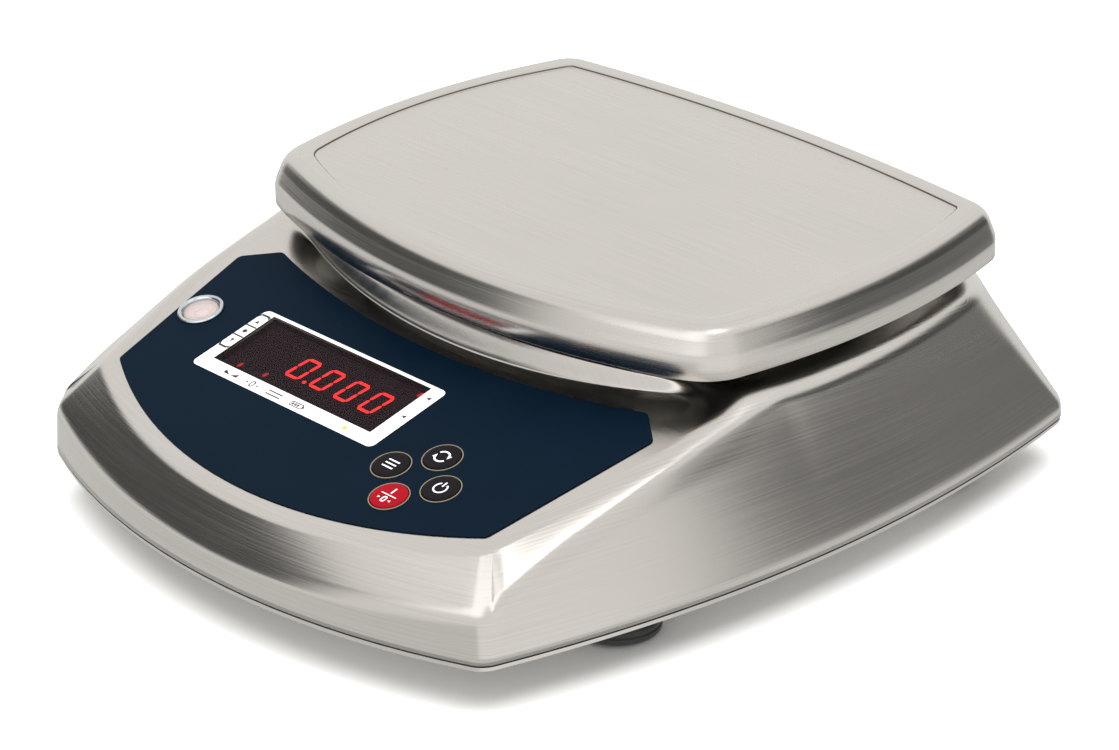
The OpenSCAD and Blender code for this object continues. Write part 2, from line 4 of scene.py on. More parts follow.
import bpy
import numpy as np
from mathutils import Matrix, Vector
from mathutils.geometry import delaunay_2d_cdt
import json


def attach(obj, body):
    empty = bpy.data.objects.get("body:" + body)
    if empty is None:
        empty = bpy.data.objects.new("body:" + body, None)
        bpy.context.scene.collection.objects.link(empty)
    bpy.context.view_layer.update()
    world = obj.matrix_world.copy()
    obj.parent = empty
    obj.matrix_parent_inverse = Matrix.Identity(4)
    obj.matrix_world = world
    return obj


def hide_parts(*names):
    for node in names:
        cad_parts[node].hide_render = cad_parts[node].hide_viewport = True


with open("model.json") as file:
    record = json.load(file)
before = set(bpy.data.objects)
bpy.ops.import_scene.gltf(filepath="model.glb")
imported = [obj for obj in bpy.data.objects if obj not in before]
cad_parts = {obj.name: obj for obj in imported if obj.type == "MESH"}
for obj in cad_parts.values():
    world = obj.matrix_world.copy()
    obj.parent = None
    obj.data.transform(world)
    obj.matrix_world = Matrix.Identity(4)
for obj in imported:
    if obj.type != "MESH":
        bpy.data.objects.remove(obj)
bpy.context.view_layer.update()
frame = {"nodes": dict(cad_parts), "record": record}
MM = 0.001

# ---- Sizes shared with the CAD model ----
SEAM = 19.0
DECK = 80.5
TILT = math.radians(13.5)
PANEL_Z0 = 81.6
OVERLAY_Y = -116.0
OVERLAY_T = 0.4
STEP_R = 246.0
STEP_FRONT = 44.8
FRONT_Y = -134.5
REAR_Y = 150.6
FOOT = [115.2, FRONT_Y, 127.5, REAR_Y, 24.7, 18.6, 8.6, 10, 12]
HEAD = [88.3, FRONT_Y + 29.2, 107.7, REAR_Y - 23.7, 23.4, 27.6, 8, 3, 44.6]
SKIRT = 9.0
PLATTER_FOOT = [115.5, -28.45, 112.2, 126.85, 24.4, 10.5, 7.6, 22, 14.5]
PLATTER_Z = 86.0
PLATTER_TOP = 104.3
PLATTER_SINK = 1.0
SHEET = 1.5
KEY_GROUP = (52.5, 9.8)
KEY_GROUP_R = 12.6
KEY_R = 6.7
LEVEL = (-94.2, 36.9)
WINDOW = (-66.0, 18.8, 19.1, 48.7)
FRAME_OUT = (-71.5, 25.8, 12.8, 50.3)


# ---- Curves ----
def smooth(a, b, x):
    """0 below a, 1 above b, with an even start and stop."""
    t = np.clip((np.asarray(x, float) - a) / (b - a), 0, 1)
    return t * t * (3 - 2 * t)


def arc_over(p, q, bow):
    """Centre and radius of the arc over the chord p to q that bulges by bow to its right."""
    d = q - p
    r = (d @ d / 4 + bow * bow) / (2 * bow)
    t = d / np.linalg.norm(d)
    return (p + q) / 2 + np.array([t[1], -t[0]]) * (bow - r), r


def circles_meet(c1, r1, c2, r2, near):
    d = np.linalg.norm(c2 - c1)
    a = (r1 * r1 - r2 * r2 + d * d) / (2 * d)
    h = math.sqrt(max(0, r1 * r1 - a * a))
    u = (c2 - c1) / d
    side = np.array([-u[1], u[0]]) * h
    both = [c1 + u * a + side, c1 + u * a - side]
    return min(both, key=lambda p: np.linalg.norm(p - near))


def sweep(c, r, a, b, n):
    """n points of the arc about c from direction a round to direction b, its end left out."""
    a0 = math.atan2(a[1], a[0])
    turn = (math.atan2(b[1], b[0]) - a0) % (2 * math.pi)
    at = a0 + turn * np.arange(n) / n
    return np.stack([c[0] + r * np.cos(at), c[1] + r * np.sin(at)], 1)


def outline(o, side_n, corner_n):
    """Four bowed sides joined by round corners, anticlockwise from the front left."""
    p = [np.array(v, float) for v in ((-o[0], o[1]), (o[0], o[1]), (o[2], o[3]), (-o[2], o[3]))]
    bow, rad = [o[4], o[5], o[6], o[5]], [o[7], o[8], o[8], o[7]]
    arcs = [arc_over(p[i], p[(i + 1) % 4], bow[i]) for i in range(4)]
    turns = []
    for i in range(4):
        (c, r), (d, s) = arcs[i], arcs[(i + 1) % 4]
        turns.append(circles_meet(c, r - rad[i], d, s - rad[i], p[(i + 1) % 4]))
    out = []
    for i in range(4):
        (c, r), (d, _) = arcs[i], arcs[(i + 1) % 4]
        out.append(sweep(c, r, turns[i - 1] - c, turns[i] - c, side_n))
        out.append(sweep(turns[i], rad[i], turns[i] - c, turns[i] - d, corner_n))
    return np.concatenate(out)


def inset(o, e):
    return [o[0] - e, o[1] + e, o[2] - e, o[3] - e, *o[4:7], max(1, o[7] - e), max(1, o[8] - e)]


def mix(a, b, t):
    return a * (1 - t) + b * t


def inward(ring):
    """Unit normal pointing into a closed anticlockwise ring of points in plan."""
    t = np.roll(ring, -1, 0) - np.roll(ring, 1, 0)
    n = np.stack([-t[:, 1], t[:, 0]], 1)
    return n / np.linalg.norm(n, axis=1)[:, None]


def relaxed(ring, times):
    """Evens out a closed ring of values."""
    for _ in range(times):
        ring = (np.roll(ring, 1, 0) + 2 * ring + np.roll(ring, -1, 0)) / 4
    return ring


def rounded(p, q, r, n):
    """Points along the corner q from p to r, as rings: a smooth bend in n + 1 steps."""
    out = []
    for i in range(n + 1):
        t = i / n
        w = [(1 - t) ** 3, 3 * t * (1 - t) ** 2, 3 * t * t * (1 - t), t**3]
        a, b = mix(p, q, 0.58), mix(r, q, 0.58)
        out.append(w[0] * p + w[1] * a + w[2] * b + w[3] * r)
    return out


# ---- Mesh helpers ----
def piece(name, verts, faces, body, materials, smooth_faces=True, index=None, uv=None):
    """A mesh object from millimetre points. index gives a face's material, uv a corner's place in metres."""
    mesh = bpy.data.meshes.new(name)
    points = [tuple(v) for v in np.asarray(verts, float) * MM]
    mesh.from_pydata(points, [], [tuple(int(i) for i in f) for f in faces])
    if index is not None:
        mesh.polygons.foreach_set("material_index", np.asarray(index, np.int32))
    if uv is not None:
        layer = mesh.uv_layers.new(name="grain")
        corner = np.array([loop.vertex_index for loop in mesh.loops])
        layer.data.foreach_set("uv", (np.asarray(uv, float)[corner] * MM).ravel())
    mesh.polygons.foreach_set("use_smooth", [smooth_faces] * len(mesh.polygons))
    mesh.update()
    obj = bpy.data.objects.new(name, mesh)
    for m in materials if isinstance(materials, (list, tuple)) else [materials]:
        mesh.materials.append(m)
    bpy.context.scene.collection.objects.link(obj)
    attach(obj, body)
    return obj


def strip(rings, closed_ends=(False, False)):
    """Vertices and faces of a skin over closed rings of equal length, first ring lowest."""
    n = len(rings[0])
    faces = []
    for k in range(len(rings) - 1):
        for i in range(n):
            j = (i + 1) % n
            faces.append((k * n + i, k * n + j, (k + 1) * n + j, (k + 1) * n + i))
    if closed_ends[0]:
        faces.append(tuple(range(n - 1, -1, -1)))
    if closed_ends[1]:
        faces.append(tuple((len(rings) - 1) * n + i for i in range(n)))
    return np.concatenate(rings), faces


def ring_uv(rings):
    """Lengthwise and crosswise distances over a skin made of rings."""
    mid = rings[len(rings) // 2]
    along = np.concatenate([[0], np.cumsum(np.linalg.norm(np.diff(mid, axis=0), axis=1))])
    across = np.zeros(len(mid))
    out = []
    for k, ring in enumerate(rings):
        if k:
            across = across + np.linalg.norm(ring - rings[k - 1], axis=1)
        out.append(np.stack([along, across], 1))
    return np.concatenate(out)


def on_panel(points):
    """Points of the panel frame, origin at the overlay's front corners, as world points."""
    p = np.asarray(points, float)
    y, z = p[:, 1], p[:, 2]
    return np.stack([
        p[:, 0],
        OVERLAY_Y + y * math.cos(TILT) - z * math.sin(TILT),
        PANEL_Z0 + OVERLAY_Y * math.tan(TILT) + y * math.sin(TILT) + z * math.cos(TILT),
    ], 1)


def panel_z(y):
    return PANEL_Z0 + y * math.tan(TILT)


# ---- Materials ----
class Shader:
    """A material's node tree with short ways to add the nodes used here."""

    def __init__(self, name, colour, metallic=0.0, rough=0.5, **sockets):
        self.material = bpy.data.materials.new(name)
        self.material.use_nodes = True
        self.tree = self.material.node_tree
        self.base = self.tree.nodes["Principled BSDF"]
        self.set("Base Color", (*colour, 1))
        self.set("Metallic", metallic)
        self.set("Roughness", rough)
        for key, value in sockets.items():
            self.set(key.replace("_", " "), value)

    def set(self, socket, value):
        self.base.inputs[socket].default_value = value

    def node(self, kind, **values):
        n = self.tree.nodes.new(kind)
        for key, value in values.items():
            if hasattr(n, key):
                setattr(n, key, value)
            else:
                n.inputs[key.replace("_", " ")].default_value = value
        return n

    def link(self, a, b):
        self.tree.links.new(a, b)

    def coords(self, kind, scale):
        tex = self.node("ShaderNodeTexCoord")
        mapping = self.node("ShaderNodeMapping")
        mapping.inputs["Scale"].default_value = scale
        self.link(tex.outputs[kind], mapping.inputs["Vector"])
        return mapping.outputs["Vector"]

    def noise(self, where, scale, detail=3.0, rough=0.55):
        n = self.node("ShaderNodeTexNoise")
        n.inputs["Scale"].default_value = scale
        n.inputs["Detail"].default_value = detail
        n.inputs["Roughness"].default_value = rough
        self.link(where, n.inputs["Vector"])
        return n.outputs["Fac"]

    def ranged(self, value, lo, hi, to_lo, to_hi):
        m = self.node("ShaderNodeMapRange")
        for socket, v in zip(("From Min", "From Max", "To Min", "To Max"), (lo, hi, to_lo, to_hi)):
            m.inputs[socket].default_value = v
        self.link(value, m.inputs["Value"])
        return m.outputs["Result"]

    def added(self, a, b, factor=1.0):
        m = self.node("ShaderNodeMath", operation="MULTIPLY_ADD")
        self.link(a, m.inputs[0])
        m.inputs[1].default_value = factor
        self.link(b, m.inputs[2])
        return m.outputs[0]

    def tint(self, value, low, high):
        ramp = self.node("ShaderNodeMix", data_type="RGBA")
        self.link(value, ramp.inputs["Factor"])
        ramp.inputs[6].default_value = (*low, 1)
        ramp.inputs[7].default_value = (*high, 1)
        self.link(ramp.outputs[2], self.base.inputs["Base Color"])

    def bump(self, height, distance, strength=1.0):
        b = self.node("ShaderNodeBump")
        b.inputs["Strength"].default_value = strength
        b.inputs["Distance"].default_value = distance
        self.link(height, b.inputs["Height"])
        self.link(b.outputs["Normal"], self.base.inputs["Normal"])


def brushed_steel(name, colour, rough, grain, cloud, anisotropic=0.5, uv=True, bump=0.00002):
    """Brushed stainless: fine streaks along the piece, soft clouds of wear across it."""
    s = Shader(name, colour, 1.0, rough)
    s.set("Anisotropic", anisotropic)
    fine = s.noise(s.coords("UV" if uv else "Object", grain), 1.0, 4.0, 0.6)
    soft = s.noise(s.coords("UV" if uv else "Object", cloud), 1.0, 3.0, 0.5)
    rough_fine = s.ranged(fine, 0.25, 0.75, rough - 0.05, rough + 0.06)
    rough_soft = s.ranged(soft, 0.3, 0.7, -0.05, 0.05)
    s.link(s.added(rough_soft, rough_fine), s.base.inputs["Roughness"])
    shade = s.ranged(s.added(soft, fine, 0.7), 0.5, 1.2, 0.0, 1.0)
    s.tint(shade, [c * 0.90 for c in colour], [min(1, c * 1.06) for c in colour])
    s.bump(fine, bump)
    return s.material


def plastic(name, colour, rough, grain=900.0, depth=0.00004, specular=0.5, spread=0.10):
    """Moulded plastic or paint with a fine grain and slightly uneven gloss."""
    s = Shader(name, colour, 0.0, rough)
    s.set("Specular IOR Level", specular)
    where = s.coords("Object", (1, 1, 1))
    fine = s.noise(where, grain, 2.0)
    soft = s.noise(where, 35.0, 4.0)
    s.link(s.ranged(soft, 0.3, 0.7, rough - spread / 2, rough + spread / 2), s.base.inputs["Roughness"])
    s.tint(soft, [c * 0.9 for c in colour], [min(1, c * 1.1 + 0.002) for c in colour])
    s.bump(fine, depth)
    return s.material


def metal(name, colour, rough, scale=(60, 60, 60), spread=0.14, depth=0.00003):
    """Plain metal with a cast, plated or turned surface by the scale of its grain."""
    s = Shader(name, colour, 1.0, rough)
    fine = s.noise(s.coords("Object", scale), 12.0, 5.0, 0.6)
    soft = s.noise(s.coords("Object", (1, 1, 1)), 40.0, 3.0)
    s.link(s.ranged(soft, 0.3, 0.7, rough - spread / 2, rough + spread / 2), s.base.inputs["Roughness"])
    s.tint(fine, [c * 0.86 for c in colour], [min(1, c * 1.08) for c in colour])
    s.bump(fine, depth)
    return s.material


def emitter(name, colour, strength):
    """Lit display segment, a little uneven along its length."""
    s = Shader(name, [c * 0.4 for c in colour], 0.0, 0.35)
    s.set("Emission Color", (*colour, 1))
    s.set("Emission Strength", strength)
    soft = s.noise(s.coords("Object", (1, 1, 1)), 900.0, 2.0)
    s.tint(soft, [c * 0.3 for c in colour], [c * 0.5 for c in colour])
    return s.material


def glass(name, colour, rough, alpha, specular=0.5):
    """Thin tinted window or lens: clear film over what lies behind it."""
    s = Shader(name, colour, 0.0, rough)
    s.set("Alpha", alpha)
    s.set("IOR", 1.49)
    s.set("Specular IOR Level", specular)
    soft = s.noise(s.coords("Object", (1, 1, 1)), 60.0, 3.0)
    s.link(s.ranged(soft, 0.3, 0.7, rough * 0.7, rough * 1.4), s.base.inputs["Roughness"])
    s.bump(soft, 0.00002)
    return s.material


def board(name, colour):
    """Green lacquered circuit board with faint traces."""
    s = Shader(name, colour, 0.0, 0.35)
    where = s.coords("Object", (1, 1, 1))
    brick = s.node("ShaderNodeTexBrick")
    brick.inputs["Scale"].default_value = 220.0
    s.link(where, brick.inputs["Vector"])
    s.tint(brick.outputs["Fac"], colour, [min(1, c * 2.1 + 0.01) for c in colour])
    s.bump(brick.outputs["Fac"], 0.00005)
    soft = s.noise(where, 80.0)
    s.link(s.ranged(soft, 0.3, 0.7, 0.28, 0.45), s.base.inputs["Roughness"])
    return s.material


STEEL = (0.66, 0.635, 0.605)
LOOKS = {
    "brushed_cover": brushed_steel("cover steel", STEEL, 0.21, (14, 1400, 1), (5, 26, 1), 0.3),
    "brushed_platter": brushed_steel("platter steel", STEEL, 0.24, (14, 1300, 1), (7, 12, 1), 0.3),
    "overlay_print": plastic("overlay navy", (0.0006, 0.0059, 0.0143), 0.45, 1600.0, 0.00001, 0.03),
    "window_tint": glass("window tint", (0.010, 0.004, 0.006), 0.14, 0.40, 0.14),
    "display_black": plastic("display black", (0.010, 0.004, 0.006), 0.5, 900.0, 0.00002, 0.05),
    "led_red": emitter("led red", (1.0, 0.02, 0.02), 5.0),
    "circuit_board": board("board green", (0.006, 0.07, 0.022)),
    "brass_parts": metal("brass", (0.75, 0.55, 0.25), 0.3, (400, 400, 20)),
    "switch_black": plastic("switch black", (0.02, 0.02, 0.022), 0.4),
    "key_red": plastic("key red", (0.26, 0.0016, 0.008), 0.38, 1500.0, 0.00001, 0.05),
    "key_black": plastic("key black", (0.0055, 0.0045, 0.0063), 0.40, 1500.0, 0.00001, 0.06),
    "bezel_grey": plastic("bezel tan", (0.19, 0.165, 0.11), 0.45),
    "level_ring": metal("level ring", (0.62, 0.68, 0.72), 0.22),
    "level_glass": glass("level glass", (0.72, 0.62, 0.60), 0.05, 0.35),
    "cast_support": metal("cast aluminium", (0.62, 0.62, 0.60), 0.48, (30, 30, 30), 0.2, 0.0002),
    "machined_aluminium": metal("machined aluminium", (0.74, 0.74, 0.73), 0.28, (6, 500, 6)),
    "zinc_steel": metal("zinc plated steel", (0.60, 0.61, 0.62), 0.32, (200, 200, 40)),
    "screw_steel": metal("screw steel", (0.55, 0.54, 0.52), 0.30, (80, 80, 500)),
    "black_rubber": plastic("seal rubber", (0.012, 0.012, 0.012), 0.62, 500.0, 0.00015),
    "foot_rubber": plastic("foot rubber", (0.013, 0.013, 0.014), 0.55, 420.0, 0.00025),
    "ribbon_grey": plastic("ribbon grey", (0.42, 0.42, 0.43), 0.5),
    "battery_case": plastic("battery case", (0.035, 0.038, 0.043), 0.45, 300.0, 0.0003),
}
WHITE_PRINT = plastic("print white", (0.80, 0.80, 0.80), 0.45, 1600.0, 0.00001)
DARK_PRINT = plastic("print black", (0.012, 0.014, 0.018), 0.45, 1600.0, 0.00001)
AMBER_PRINT = plastic("print amber", (0.78, 0.38, 0.03), 0.45, 1600.0, 0.00001)
# Dark steel for the wall down to the platter's sunk face: painted shade in that recess, not the steel's own
# colour.
PAINTED_SHADE_STEEL = brushed_steel("sunk wall painted shade", (0.16, 0.15, 0.14), 0.45, (14, 1300, 1), (7, 12, 1), 0.3)
LED_DIM = emitter("led dim", (1.0, 0.015, 0.02), 1.1)
LEVEL_FLUID = glass("level fluid", (0.55, 0.42, 0.40), 0.04, 0.5)


def dress_cad_nodes():
    """Gives every CAD node the look of its material slot."""
    for part in frame["record"]["subparts"]:
        obj = frame["nodes"][part["node"]]
        obj.data.materials.clear()
        obj.data.materials.append(LOOKS[part["material_slot"]])


# ---- Top cover ----
SIDE_N, CORNER_N = 64, 14
POST_Y = 38 + 65 - 15
POST_HOLE_R = 22.0
# Where the grain of the flat tops starts, away from that of the sides
CAP_GRAIN_FROM, PAN_GRAIN_FROM = 400, 900
PAN_SIDE_N, PAN_CORNER_N = 48, 12


def wall_ring(z):
    """Outline of the leaning wall at height z."""
    t = max(0.0, (z - SEAM - SKIRT) / (DECK - SEAM - SKIRT))
    low = inset(FOOT, 0.6)
    return outline([mix(a, b, t) for a, b in zip(low, HEAD)], SIDE_N, CORNER_N)


def cap_height(x, y):
    """Height of the cover's top: sloping panel in front of the step arc, level deck behind it."""
    x, y = np.asarray(x, float), np.asarray(y, float)
    r = np.hypot(x, y - (STEP_R - STEP_FRONT))
    soft = 2.2 + 20.0 * smooth(88, 128, np.abs(x))
    inside = smooth(-0.5, 0.5, (STEP_R - r) / soft)
    slope = panel_z(y)
    gap = DECK - slope
    lift = 0.5 * (gap + np.sqrt(gap * gap + 4.0))
    level = slope + gap
    front = DECK - lift + 1.0 * np.exp(-np.abs(gap) / 4.0)
    return mix(front, level, np.where(gap > 0, inside, 1.0))


def edge_ring():
    """Where the leaning wall meets the panel or the deck."""
    heights = np.linspace(SEAM + SKIRT, DECK, 90)
    rings = np.array([wall_ring(z) for z in heights])
    limit = np.minimum(panel_z(rings[:, :, 1]), DECK)
    above = heights[:, None] - limit
    out = []
    for i in range(rings.shape[1]):
        k = int(np.argmax(above[:, i] >= 0)) or len(heights) - 1
        t = above[k - 1, i] / (above[k - 1, i] - above[k, i])
        xy = mix(rings[k - 1, i], rings[k, i], t)
        out.append([xy[0], xy[1], mix(heights[k - 1], heights[k], t)])
    return np.array(out)


def cover_rings():
    """Rings of the cover's side from the seam up over its top edge, and the last one on the top."""
    foot = outline(FOOT, SIDE_N, CORNER_N)
    edge = edge_ring()
    n_foot = inward(foot)
    n_edge = relaxed(inward(edge[:, :2]), 3)
    back = np.clip((edge[:, 1] + 121.9) / 117.9, 0, 1)
    side = np.clip(np.abs(foot[:, 0]) / 112, 0, 1) ** 2
    crease_z = SEAM + 11 + 6.5 * side
    wall_soft = mix(2.6, 12.0, smooth(0.45, 1.15, (edge[:, 1] + 121.9) / 117.9))
    cap_soft = mix(3.0, 13.0, smooth(0.55, 1.2, (edge[:, 1] + 121.9) / 117.9))
    drop = np.maximum(12.5 * (1 - back) ** 1.5, 1.3 * wall_soft)
    drop = mix(edge[:, 2] - crease_z, drop, smooth(0.0, 0.08, back))
    bend_z = edge[:, 2] - relaxed(drop[:, None], 6)[:, 0]
    share = mix(0.04, (bend_z - SEAM) / (edge[:, 2] - SEAM), back**0.7)
    base = np.column_stack([foot, np.full(len(foot), SEAM)])
    bend = np.column_stack([mix(foot, edge[:, :2], share[:, None]), bend_z])
    rim_z = SEAM + 5.5
    rim_share = mix(5.5 / (bend_z - SEAM), 0.03, back) * share
    rim = np.column_stack([mix(foot, edge[:, :2], rim_share[:, None]), np.full(len(foot), rim_z)])
    rim[:, :2] = mix(rim[:, :2], foot + 0.35 * n_foot, smooth(0.1, 0.8, back)[:, None])
    top_xy = edge[:, :2] + n_edge * cap_soft[:, None]
    top = np.column_stack([top_xy, cap_height(*top_xy.T)])
    last_xy = edge[:, :2] + n_edge * (cap_soft[:, None] + 1.5)
    last = np.column_stack([last_xy, cap_height(*last_xy.T)])

    def toward(p, q, length):
        d = q - p
        size = np.linalg.norm(d, axis=1)
        return p + d * (np.minimum(length, 0.48 * size) / size)[:, None]

    soft_bend = mix(4.0, 8.0, smooth(0, 0.4, back))
    rings = [base]
    rings += rounded(toward(rim, base, 2.2), rim, toward(rim, bend, 2.2), 4)
    lower, upper = toward(bend, rim, soft_bend), toward(bend, edge, soft_bend)
    rings += [mix(rings[-1], lower, t) for t in (0.33, 0.66)]
    rings += rounded(lower, bend, upper, 8)
    high = toward(edge, bend, wall_soft * 1.0)
    rings += [mix(upper, high, 0.5)]
    rings += rounded(high, edge, top, 10)
    return rings + [last]


def circle(cx, cy, r, n):
    a = np.arange(n) * 2 * math.pi / n
    return np.stack([cx + r * np.cos(a), cy + r * np.sin(a)], 1)


def box_loop(x0, x1, y0, y1, r=0.0, n=4):
    """Anticlockwise rectangle with round corners."""
    if r <= 0:
        return np.array([[x0, y0], [x1, y0], [x1, y1], [x0, y1]], float)
    out = []
    corners = ((x1 - r, y0 + r, -90), (x1 - r, y1 - r, 0), (x0 + r, y1 - r, 90), (x0 + r, y0 + r, 180))
    for cx, cy, a0 in corners:
        for i in range(n + 1):
            a = math.radians(a0 + 90 * i / n)
            out.append([cx + r * math.cos(a), cy + r * math.sin(a)])
    return np.array(out)


def key_place(i):
    return tuple(KEY_GROUP[k] + KEY_GROUP_R * ((0, -1), (-1, 0), (0, 1), (1, 0))[i][k] for k in (0, 1))


def panel_holes():
    """Openings in the panel, in plan: window, four keys and the bubble level."""
    loops = [box_loop(WINDOW[0] - 0.2, WINDOW[1] + 0.2, WINDOW[2] - 0.2, WINDOW[3] + 0.2)]
    loops += [circle(*key_place(i), KEY_R + 0.3, 32) for i in range(4)]
    loops.append(circle(*LEVEL, 8.0, 40))
    return [on_panel(np.column_stack([p, np.zeros(len(p))]))[:, :2] for p in loops]


def inside_loop(p, loop):
    """Whether plan points lie inside a closed loop."""
    x, y = p[:, 0], p[:, 1]
    hit = np.zeros(len(p), bool)
    for a, b in zip(loop, np.roll(loop, -1, 0)):
        crosses = (a[1] > y) != (b[1] > y)
        with np.errstate(divide="ignore", invalid="ignore"):
            at = (b[0] - a[0]) * (y - a[1]) / (b[1] - a[1]) + a[0]
        hit ^= crosses & (x < at)
    return hit


def step_rows(border):
    """Rows of points along the step, and a loose grid elsewhere, inside the border loop."""
    rows = []
    angles = np.linspace(-37, 37, 150)
    for r in (3.2, 2.2, 1.3, 0.8, 0.4, 0.0, -0.4, -0.8, -1.3, -2.2, -3.2):
        a = np.radians(angles)
        wide = 1 + 9.0 * smooth(88, 128, np.abs(STEP_R * np.sin(a)))
        rr = STEP_R + r * wide * 0.5
        rows.append(np.stack([rr * np.sin(a), STEP_R - STEP_FRONT - rr * np.cos(a)], 1))
    xs, ys = np.meshgrid(np.arange(-125, 126, 6.0), np.arange(-150, 150, 6.0))
    grid = np.stack([xs.ravel(), ys.ravel()], 1)
    r = np.hypot(grid[:, 0], grid[:, 1] - (STEP_R - STEP_FRONT))
    grid = grid[np.abs(r - STEP_R) > 4 + 12 * smooth(88, 128, np.abs(grid[:, 0]))]
    points = np.concatenate(rows + [grid])
    centre = border.mean(0)
    keep = inside_loop(centre + (points - centre) * 1.012, border)
    return points[keep]


def cap_mesh(border, holes):
    """Triangles of the cover's top inside border, with the holes left open."""
    loops = [border] + holes
    points = [p for loop in loops for p in loop] + list(step_rows(border))
    edges, start = [], 0
    for loop in loops:
        n = len(loop)
        edges += [(start + i, start + (i + 1) % n) for i in range(n)]
        start += n
    got = delaunay_2d_cdt([Vector(p) for p in points], edges, [], 1, 1e-5)
    verts = np.array([tuple(v) for v in got[0]])
    faces = [f for f in got[2] if len(f) == 3]
    mid = np.array([verts[list(f)].mean(0) for f in faces])
    open_here = np.zeros(len(faces), bool)
    for hole in holes:
        open_here |= inside_loop(mid, hole)
    faces = [f for f, gone in zip(faces, open_here) if not gone]
    return np.column_stack([verts, cap_height(*verts.T)]), faces


def weld(obj, distance):
    """Joins points that lie within the given distance."""
    m = obj.modifiers.new("weld", "WELD")
    m.merge_threshold = distance * MM


def thicken(obj, amount):
    """Gives a skin its sheet thickness, inwards."""
    m = obj.modifiers.new("sheet", "SOLIDIFY")
    m.thickness = amount * MM
    m.offset = -1


def make_cover():
    """The steel cover: sides, shoulder and top as one sheet with its openings."""
    rings = cover_rings()
    side_verts, side_faces = strip(rings)
    side_uv = ring_uv(rings)
    holes = panel_holes() + [circle(0, POST_Y, POST_HOLE_R, 64)]
    cap_verts, cap_faces = cap_mesh(rings[-1][:, :2], holes)
    up = len(side_verts)
    faces = side_faces + [tuple(up + i for i in f) for f in cap_faces]
    verts = np.concatenate([side_verts, cap_verts])
    uv = np.concatenate([side_uv, cap_verts[:, :2] + CAP_GRAIN_FROM])
    cover = piece("top_cover_sheet", verts, faces, "root", LOOKS["brushed_cover"], uv=uv)
    weld(cover, 0.02)
    thicken(cover, SHEET)
    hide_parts("top_cover")
    return cover


# ---- Platter ----
def make_platter():
    """Lift-off pan: upright skirt, steep bevel, rounded rim and a weighing face sunk inside it, the wall down
    to that face painted dark as shade.
    """
    n = 4 * (PAN_SIDE_N + PAN_CORNER_N)

    def at(e, z):
        return np.column_stack([outline(inset(PLATTER_FOOT, e), PAN_SIDE_N, PAN_CORNER_N), np.full(n, z)])

    low, top, face = PLATTER_Z, PLATTER_TOP, PLATTER_TOP - PLATTER_SINK
    rings = [at(1.2, low + 0.3), at(0.9, low), at(0.3, low), at(0.0, low + 0.4), at(0.0, low + 5.8)]
    rings += rounded(at(0.0, low + 6.2), at(0.0, low + 8.4), at(0.8, low + 10.2), 6)
    rings += rounded(at(1.9, low + 13.6), at(3.3, top - 0.1), at(6.4, top), 9)
    rings += rounded(at(10.7, top), at(11.5, top), at(11.7, top - 0.35), 4)
    wall_from = len(rings) - 1
    rings += rounded(at(11.95, face + 0.3), at(12.1, face), at(12.6, face), 3)
    wall_to = len(rings) - 3
    rings += [at(18, face)]
    verts, faces = strip(rings, (False, True))
    uv = ring_uv(rings)
    first = len(verts)
    # Faces of the wall down to the sunk face take the second material, steel darkened as painted shade in the
    # recess.
    index = [int(wall_from <= k // n < wall_to) for k in range(len(faces))]
    inner_rings = [at(1.3, low + 8.0), at(3.4, low + 14.0), at(5.5, face - 1.2), at(18, face - 1.2)]
    more, more_faces = strip(inner_rings, (False, True))
    faces = list(faces) + [tuple(reversed([first + i for i in f])) for f in more_faces]
    for i in range(n):
        j = (i + 1) % n
        faces.append((i, first + i, first + j, j))
    verts = np.concatenate([verts, more])
    index += [0] * (len(faces) - len(index))
    flat_from = len(rings) - 4
    uv = np.concatenate([uv, more[:, :2]])
    for k in range(flat_from, len(rings)):
        uv[k * n:(k + 1) * n] = rings[k][:, :2] + PAN_GRAIN_FROM
    looks = [LOOKS["brushed_platter"], PAINTED_SHADE_STEEL]
    pan = piece("platter_pan", verts, faces, "platter", looks, index=index, uv=uv)
    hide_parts("platter")
    return pan


# ---- Printed marks ----
PRINT_T = 0.05


def flat_print(name, shapes, material, base=OVERLAY_T, body="root", place=on_panel):
    """Thin ink shapes on the panel. A shape is a loop, or a pair of equal loops for an open frame."""
    verts, faces = [], []
    for shape in shapes:
        start = len(verts)
        if isinstance(shape, tuple):
            outer, inner = shape
            n = len(outer)
            for loop, z in ((outer, base), (outer, base + PRINT_T), (inner, base + PRINT_T), (inner, base)):
                verts += [(x, y, z) for x, y in loop]
            for k in range(4):
                for i in range(n):
                    j = (i + 1) % n
                    a, b = start + k * n, start + ((k + 1) % 4) * n
                    faces.append((a + i, a + j, b + j, b + i))
        else:
            n = len(shape)
            for z in (base, base + PRINT_T):
                verts += [(x, y, z) for x, y in shape]
            faces.append(tuple(start + n + i for i in range(n)))
            faces.append(tuple(start + n - 1 - i for i in range(n)))
            for i in range(n):
                j = (i + 1) % n
                faces.append((start + i, start + j, start + n + j, start + n + i))
    obj = piece(name, place(np.array(verts, float)), faces, body, material, smooth_faces=False)
    return obj


def moved(loop, x, y, turn=0.0, size=1.0):
    """A loop scaled, turned and placed."""
    c, s = math.cos(math.radians(turn)), math.sin(math.radians(turn))
    p = np.asarray(loop, float) * size
    return np.stack([x + p[:, 0] * c - p[:, 1] * s, y + p[:, 0] * s + p[:, 1] * c], 1)


def bar(x0, y0, x1, y1, width):
    """A straight stroke as a loop."""
    p, q = np.array([x0, y0], float), np.array([x1, y1], float)
    n = np.array([p[1] - q[1], q[0] - p[0]])
    n = n / np.linalg.norm(n) * width / 2
    return np.array([p - n, q - n, q + n, p + n])


